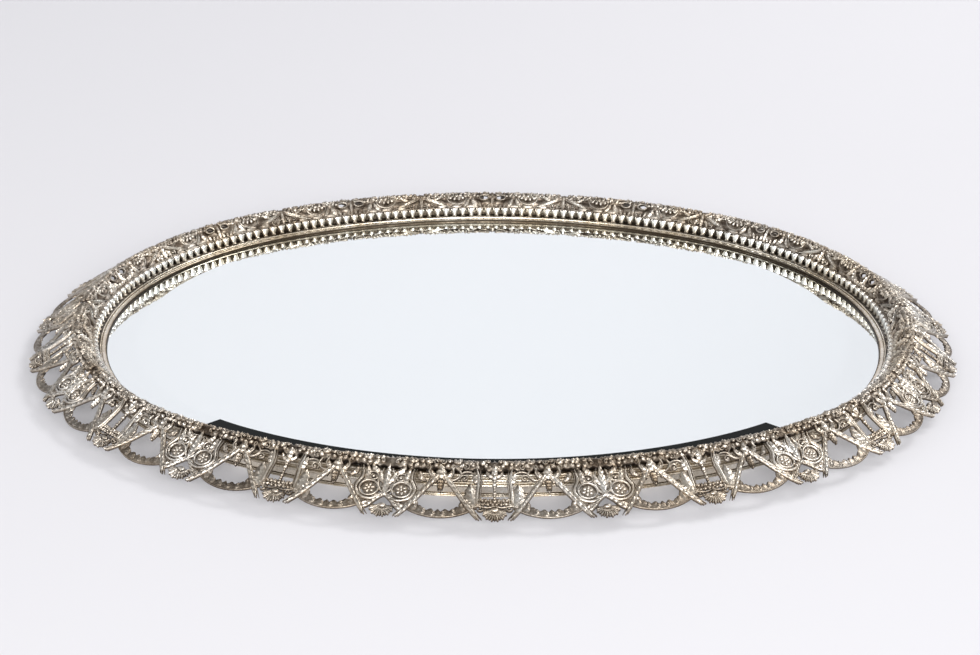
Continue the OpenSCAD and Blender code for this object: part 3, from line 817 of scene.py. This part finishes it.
def rim_moulding():
    """The rim ring: a rounded outer edge, and a plain band with a fine line beside the glass; that line is
    painted shade, with the lip coloured darkest as if in shadow.
    """
    foot = with_wear_and_shade([(SIGHT_INSET, RIM_FOOT), (RIM_INSET + 0.3, RIM_FOOT)], 0.1)
    rounding = (RIM_TOP - RIM_FOOT) / 2
    edge = with_wear_and_shade(arc_of_points((RIM_INSET + 0.6, (RIM_FOOT + RIM_TOP) / 2), rounding, -90, -270, 7), 0.6)
    seat = with_wear_and_shade([(BAND_INSET - 0.3, RIM_TOP), (BAND_INSET + 0.05, RIM_TOP + 0.5)], 0.0)
    fillet = with_wear_and_shade(arc_of_points((BAND_INSET + 0.5, RIM_TOP + 0.55), 0.42, 180, 20, 6), 0.75)
    groove = with_wear_and_shade([(BAND_INSET + 1.05, RIM_TOP + 0.05), (BAND_INSET + 1.3, RIM_TOP + 0.02)], 0.0)
    band = [(BAND_INSET + 1.35 + 2.3 * t, RIM_TOP + 0.12 + 0.25 * math.sin(math.pi * t) - 0.55 * t,
             0.75 if 0.1 < t < 0.85 else 0.4)
            for t in np.linspace(0, 1, 8)]
    # painted shade: the lip's face towards the glass gets the darkest tone, in place of its shadow, so a dark
    # line shows at the edge of the mirror
    lip = with_wear_and_shade([(SIGHT_INSET - 0.45, RIM_FOOT + 0.95), (SIGHT_INSET - 0.1, RIM_FOOT + 0.75),
                (SIGHT_INSET, RIM_FOOT + 0.5)], -0.4)
    ring = oval_sweep("rim_moulding", foot + edge + seat + fillet + groove + band + lip)
    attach(ring, "root")
    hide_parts("rim_ring")
    return ring


def base_moulding():
    """The base wall: two fine lines at the foot, and a smooth hollow band above them."""
    w = WALL_FOOT_INSET
    foot = []
    for i in range(2):
        foot += with_wear_and_shade(arc_of_points((w + 0.05, 0.5 + 1.0 * i), 0.42, -75, -285, 7), 0.55)
        foot += with_wear_and_shade([(w + 0.25, 1.0 + 1.0 * i)], -0.2)
    low = 2.2
    height = RIM_FOOT - low
    band = [(w + 0.1 - WALL_FLARE * t + 0.5 * math.sin(math.pi * t), low + height * t,
             0.2 if t < 0.08 else 0.85 if t < 0.7 else 0.35)
            for t in np.linspace(0, 1, 12)]
    inner = with_wear_and_shade([(w + 1.2 - WALL_FLARE, RIM_FOOT), (w + 1.2, low), (w + 1.2, 0)], 0.1)
    ring = oval_sweep("base_moulding", foot + band + inner)
    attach(ring, "root")
    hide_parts("base_wall")
    return ring


def reeded_moulding():
    """The reeded band: round reeds of different widths, one above the other."""
    w = REED_INSET
    height = REED_TOP - RIM_TOP
    widths = (0.16, 0.36, 0.16, 0.32)
    face, z = [], RIM_TOP
    for share in widths:
        tall = share * height
        face += with_wear_and_shade([(w + 0.8, z)], -0.3)
        face += with_wear_and_shade(arc_of_points((w + 0.55, z + tall / 2), tall / 2 * 0.84, -90, -270, 7), 0.6)
        z += tall
    back = with_wear_and_shade([(w + 1.4, REED_TOP), (w + 1.4, RIM_TOP)], 0.1)
    ring = oval_sweep("reeded_moulding", face + back)
    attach(ring, "root")
    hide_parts("reeded_band")
    return ring


BEVEL_INSET = GLASS_INSET + 19.7
BEVEL_DROP = 1.9


def mirror():
    """The bevelled plate: a flat field, a shallow bevel and a seamed edge; the glass silvered behind is made
    as one solid with a mirror-bright surface.
    """
    edge_top = GLASS_TOP - BEVEL_DROP
    soften = 0.2
    slope = BEVEL_DROP / (BEVEL_INSET - GLASS_INSET)
    edge = [(BEVEL_INSET + soften, GLASS_TOP), (BEVEL_INSET - soften, GLASS_TOP - soften * slope),
            (GLASS_INSET + 0.25, edge_top + 0.03), (GLASS_INSET, edge_top - 0.2), (GLASS_INSET, GLASS_FOOT)]
    plate = oval_disc("bevelled_mirror", edge, sharp=2)
    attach(plate, "root")
    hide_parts("mirror_plate")
    return plate


# Materials


def set_range(node, low, high, to_low, to_high):
    """Sets the four bounds of a Map Range node."""
    bounds = {"From Min": low, "From Max": high, "To Min": to_low, "To Max": to_high}
    for socket, number in bounds.items():
        node.inputs[socket].default_value = number


class Nodes:
    """A short way to write a material's node tree."""

    def __init__(self, name):
        self.material = bpy.data.materials.new(name)
        self.material.use_nodes = True
        self.tree = self.material.node_tree
        self.shader = self.tree.nodes["Principled BSDF"]
        self.place = None

    def node(self, kind, settings=None, **inputs):
        made = self.tree.nodes.new(kind)
        for key, value in (settings or {}).items():
            setattr(made, key, value)
        for key, value in inputs.items():
            self.put(made, key.replace("_", " "), value)
        return made

    def put(self, node, socket, value):
        target = node.inputs[socket]
        if isinstance(value, bpy.types.NodeSocket):
            self.tree.links.new(value, target)
        else:
            target.default_value = value

    def coords(self):
        if self.place is None:
            self.place = self.node("ShaderNodeTexCoord").outputs["Object"]
        return self.place

    def noise(self, scale, detail=4.0, roughness=0.55, distortion=0.0):
        made = self.node("ShaderNodeTexNoise", Vector=self.coords(), Scale=scale, Detail=detail,
                         Roughness=roughness, Distortion=distortion)
        return made.outputs["Fac"]

    def ramp(self, value, *stops):
        made = self.node("ShaderNodeValToRGB", Fac=value)
        points = made.color_ramp.elements
        while len(points) < len(stops):
            points.new(0.5)
        for point, (at, colour) in zip(points, stops):
            point.position = at
            point.color = (*colour, 1) if len(colour) == 3 else colour
        return made.outputs["Color"]

    def math(self, operation, a, b=0.0, clamp=False):
        made = self.node("ShaderNodeMath", {"operation": operation, "use_clamp": clamp})
        self.put(made, 0, a)
        self.put(made, 1, b)
        return made.outputs[0]

    def remap(self, value, low, high, to_low=0.0, to_high=1.0):
        made = self.node("ShaderNodeMapRange", Value=value)
        set_range(made, low, high, to_low, to_high)
        return made.outputs["Result"]

    def mix(self, factor, a, b, blend="MIX"):
        made = self.node("ShaderNodeMix", {"data_type": "RGBA", "blend_type": blend})
        self.put(made, "Factor", factor)
        for index, value in ((6, a), (7, b)):
            if isinstance(value, bpy.types.NodeSocket):
                self.tree.links.new(value, made.inputs[index])
            else:
                made.inputs[index].default_value = (*value, 1)
        return made.outputs[2]

    def bump(self, height, strength, distance, under=None):
        made = self.node("ShaderNodeBump", Height=height, Strength=strength, Distance=distance)
        if under is not None:
            self.put(made, "Normal", under)
        return made.outputs["Normal"]

    def set(self, **values):
        for key, value in values.items():
            self.put(self.shader, key.replace("_", " "), value)
        return self.material


def silver(name, stops, fine_scale, fine_depth, chase_scale, chase_depth, rough=(0.5, 0.26)):
    """Old silver plate: bright where it is rubbed, brown tarnish in the hollows, fine marks all over; a low
    tone value also gives painted shade, as on the rim's lip.
    """
    n = Nodes(name)
    height = n.node("ShaderNodeAttribute", {"attribute_name": "relief"}).outputs["Fac"]
    patches = n.noise(48, 5, 0.6)
    grain = n.noise(900, 3, 0.6)
    # the relief value is wear and tarnish, and painted shade on the rim's lip, where it is set darkest as if
    # shaded
    wear_and_shade_level = n.math("ADD", height, n.remap(patches, 0.3, 0.7, -0.2, 0.2))
    wear_and_shade_level = n.math("ADD", wear_and_shade_level, n.remap(grain, 0.3, 0.7, -0.18, 0.18), clamp=True)
    colour = n.ramp(wear_and_shade_level, *stops)
    tint = n.remap(n.noise(26, 3, 0.5), 0.42, 0.62)
    colour = n.mix(n.math("MULTIPLY", tint, 0.8), colour, (0.95, 0.88, 0.78), "MULTIPLY")
    fine = n.bump(n.noise(fine_scale, 2, 0.5), 0.4, fine_depth)
    chased = n.bump(n.noise(chase_scale, 3, 0.6, 1.5), 0.5, chase_depth, fine)
    return n.set(Base_Color=colour, Metallic=1.0, Roughness=n.remap(wear_and_shade_level, 0.0, 1.0, *rough),
                 Normal=chased)


def casting_silver():
    stops = ((0.0, (0.09, 0.07, 0.055)), (0.3, (0.27, 0.23, 0.19)), (0.6, (0.5, 0.455, 0.4)),
             (0.95, (0.84, 0.81, 0.76)))
    return silver("casting_silver", stops, 1300, 0.00008, 480, 0.00028)


def ring_silver():
    stops = ((0.0, (0.05, 0.038, 0.027)), (0.35, (0.42, 0.35, 0.26)), (0.65, (0.74, 0.68, 0.58)),
             (1.0, (0.92, 0.89, 0.83)))
    return silver("ring_silver", stops, 700, 0.00005, 150, 0.00018, rough=(0.42, 0.2))


def knob_silver():
    stops = ((0.05, (0.05, 0.04, 0.03)), (0.35, (0.5, 0.45, 0.38)), (0.7, (0.86, 0.83, 0.78)),
             (1.0, (0.95, 0.93, 0.9)))
    return silver("knob_silver", stops, 900, 0.00006, 500, 0.0001, rough=(0.42, 0.24))


def mirror_material():
    """Silvered plate glass, faintly blue-green, with a little foxing."""
    n = Nodes("silvered_glass")
    spots = n.remap(n.noise(90, 5, 0.7), 0.7, 0.78)
    smear = n.noise(14, 3, 0.5)
    colour = n.mix(n.math("MULTIPLY", spots, 0.1), (0.94, 0.985, 0.98), (0.6, 0.62, 0.6))
    return n.set(Base_Color=colour, Metallic=1.0, Roughness=n.remap(smear, 0.35, 0.75, 0.0, 0.012))


def baize_material():
    """Green wool baize."""
    n = Nodes("baize_wool")
    fibre = n.noise(1400, 5, 0.7)
    cloud = n.noise(22, 3)
    colour = n.mix(n.remap(cloud, 0.35, 0.65), (0.02, 0.07, 0.035), (0.04, 0.115, 0.06))
    colour = n.mix(n.remap(fibre, 0.4, 0.6, 0, 0.4), colour, (0.09, 0.17, 0.1))
    return n.set(Base_Color=colour, Roughness=0.95, Sheen_Weight=0.5, Sheen_Roughness=0.4,
                 Normal=n.bump(fibre, 0.6, 0.0005))


def wood_material():
    """Thin stained board with a fine straight grain."""
    n = Nodes("board_wood")
    stretched = n.node("ShaderNodeMapping", Vector=n.coords(), Scale=(6, 160, 60)).outputs["Vector"]
    streaks = n.node("ShaderNodeTexNoise", Vector=stretched, Scale=1.0, Detail=6.0, Roughness=0.6)
    grain = streaks.outputs["Fac"]
    colour = n.ramp(grain, (0.3, (0.13, 0.065, 0.03)), (0.55, (0.3, 0.17, 0.085)), (0.75, (0.4, 0.25, 0.13)))
    return n.set(Base_Color=colour, Roughness=0.6, Normal=n.bump(grain, 0.3, 0.0003))


def paper_material():
    """Brown packing paper."""
    n = Nodes("packing_paper")
    fibre = n.noise(600, 5, 0.7)
    colour = n.ramp(fibre, (0.35, (0.42, 0.32, 0.2)), (0.65, (0.58, 0.47, 0.31)))
    return n.set(Base_Color=colour, Roughness=0.85, Normal=n.bump(fibre, 0.3, 0.0002))


def brass_material():
    """Brass screws, dulled in patches."""
    n = Nodes("screw_brass")
    patches = n.noise(400, 4, 0.6)
    colour = n.ramp(patches, (0.35, (0.32, 0.2, 0.08)), (0.6, (0.72, 0.5, 0.22)))
    return n.set(Base_Color=colour, Metallic=1.0, Roughness=n.remap(patches, 0.3, 0.7, 0.5, 0.28),
                 Normal=n.bump(n.noise(1200), 0.2, 0.0002))


def wear(piece, material):
    """Gives a piece one material in place of what it had."""
    piece.data.materials.clear()
    piece.data.materials.append(material)


# Stage: floor, sweep, lights and camera


def floor():
    """A pale floor that curves up into a backdrop behind the tray."""
    front, back, half, rise, bend = -4.0, 3.2, 5.0, 2.24, 0.9
    rows = [(front, 0.0), (back - bend, 0.0)]
    for a in np.linspace(0, math.pi / 2, 17)[1:]:
        rows.append((back - bend + bend * math.sin(a), bend - bend * math.cos(a)))
    rows.append((back, rise))
    points = [(x, y, z) for y, z in rows for x in (-half, half)]
    faces = [(2 * i, 2 * i + 1, 2 * i + 3, 2 * i + 2) for i in range(len(rows) - 1)]
    sheet = new_mesh("floor_sweep", np.array(points) / MM, faces, sharp=60)
    n = Nodes("floor_white")
    tone = n.noise(0.6, 2)
    pale = n.mix(tone, (0.545, 0.54, 0.562), (0.56, 0.553, 0.572))
    wear(sheet, n.set(Base_Color=pale, Roughness=0.9, Specular_IOR_Level=0.1, Emission_Color=pale,
                      Emission_Strength=0.36))


def soft_light(name, place, aim, size, power, colour=(1, 1, 1)):
    """A square soft box that points at a place."""
    data = bpy.data.lights.new(name, "AREA")
    data.shape = "RECTANGLE"
    data.size, data.size_y = size
    data.energy = power
    data.color = colour
    lamp = bpy.data.objects.new(name, data)
    lamp.location = place
    lamp.rotation_euler = (Vector(aim) - Vector(place)).to_track_quat("-Z", "Y").to_euler()
    bpy.context.scene.collection.objects.link(lamp)


def lights():
    soft_light("key_box", (1.6, 1.0, 2.1), (0, 0, 0), (1.3, 0.9), 31)
    soft_light("left_box", (-2.3, -0.2, 1.6), (0, 0, 0), (1.0, 1.2), 5)
    soft_light("front_box", (0.3, -2.6, 1.15), (0, 0, 0), (3.0, 1.0), 96)
    soft_light("sweep_box", (0, 0.9, 2.9), (0, 3.2, 0.9), (3.6, 0.8), 18)
    world = bpy.data.worlds.new("studio")
    world.use_nodes = True
    tree = world.node_tree
    way = tree.nodes.new("ShaderNodeTexCoord").outputs["Generated"]
    split = tree.nodes.new("ShaderNodeSeparateXYZ")
    tree.links.new(way, split.inputs[0])
    levels = []
    for axis, low, high, at_low, at_high in (("Z", 0.1, 0.8, 1.1, 0.4), ("Y", 0.05, 0.45, 1.0, 0.05)):
        ramp = tree.nodes.new("ShaderNodeMapRange")
        ramp.interpolation_type = "SMOOTHSTEP"
        tree.links.new(split.outputs[axis], ramp.inputs["Value"])
        set_range(ramp, low, high, at_low, at_high)
        levels.append(ramp.outputs["Result"])
    both = tree.nodes.new("ShaderNodeMath")
    both.operation = "MULTIPLY"
    for index, level in enumerate(levels):
        tree.links.new(level, both.inputs[index])
    sky = tree.nodes["Background"]
    sky.inputs["Color"].default_value = (0.97, 0.98, 1.0, 1)
    tree.links.new(both.outputs[0], sky.inputs["Strength"])
    bpy.context.scene.world = world


def camera():
    """A seated photographer's camera: in front of the tray and looking 23 degrees down at it."""
    elevation = math.radians(22.82)
    turn = math.radians(-0.25)
    roll = math.radians(-0.4)
    distance = 1.163
    ahead = Vector((-math.sin(turn), math.cos(turn), 0))
    back = Vector((0, 0, math.sin(elevation))) - ahead * math.cos(elevation)
    target = Vector((-0.002, 0.0054, 0.0069))
    data = bpy.data.cameras.new("camera")
    data.sensor_width = 36
    data.lens = 64.4
    data.clip_end = 50
    view = bpy.data.objects.new("camera", data)
    view.location = target + back * distance
    turned = back.to_track_quat("Z", "Y").to_matrix().to_4x4()
    view.rotation_euler = (turned @ Matrix.Rotation(-roll, 4, "Z")).to_euler()
    bpy.context.scene.collection.objects.link(view)
    bpy.context.scene.camera = view


# Build

camera()
cast_metal = casting_silver()
for piece in castings():
    wear(piece, cast_metal)
knobs = knob_silver()
for side in ARCS:
    wear(bead_gallery(side), knobs)
rolled = ring_silver()
for piece in (rim_moulding(), base_moulding(), reeded_moulding()):
    wear(piece, rolled)
wear(mirror(), mirror_material())
wear(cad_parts["baize_cover"], baize_material())
wear(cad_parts["backing_board"], wood_material())
wear(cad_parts["packing_sheet"], paper_material())
wear(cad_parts["board_posts"], rolled)
brass = brass_material()
wear(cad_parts["board_screws"], brass)
wear(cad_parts["section_screws"], brass)
floor()
lights()
bpy.context.scene.view_settings.view_transform = "Standard"
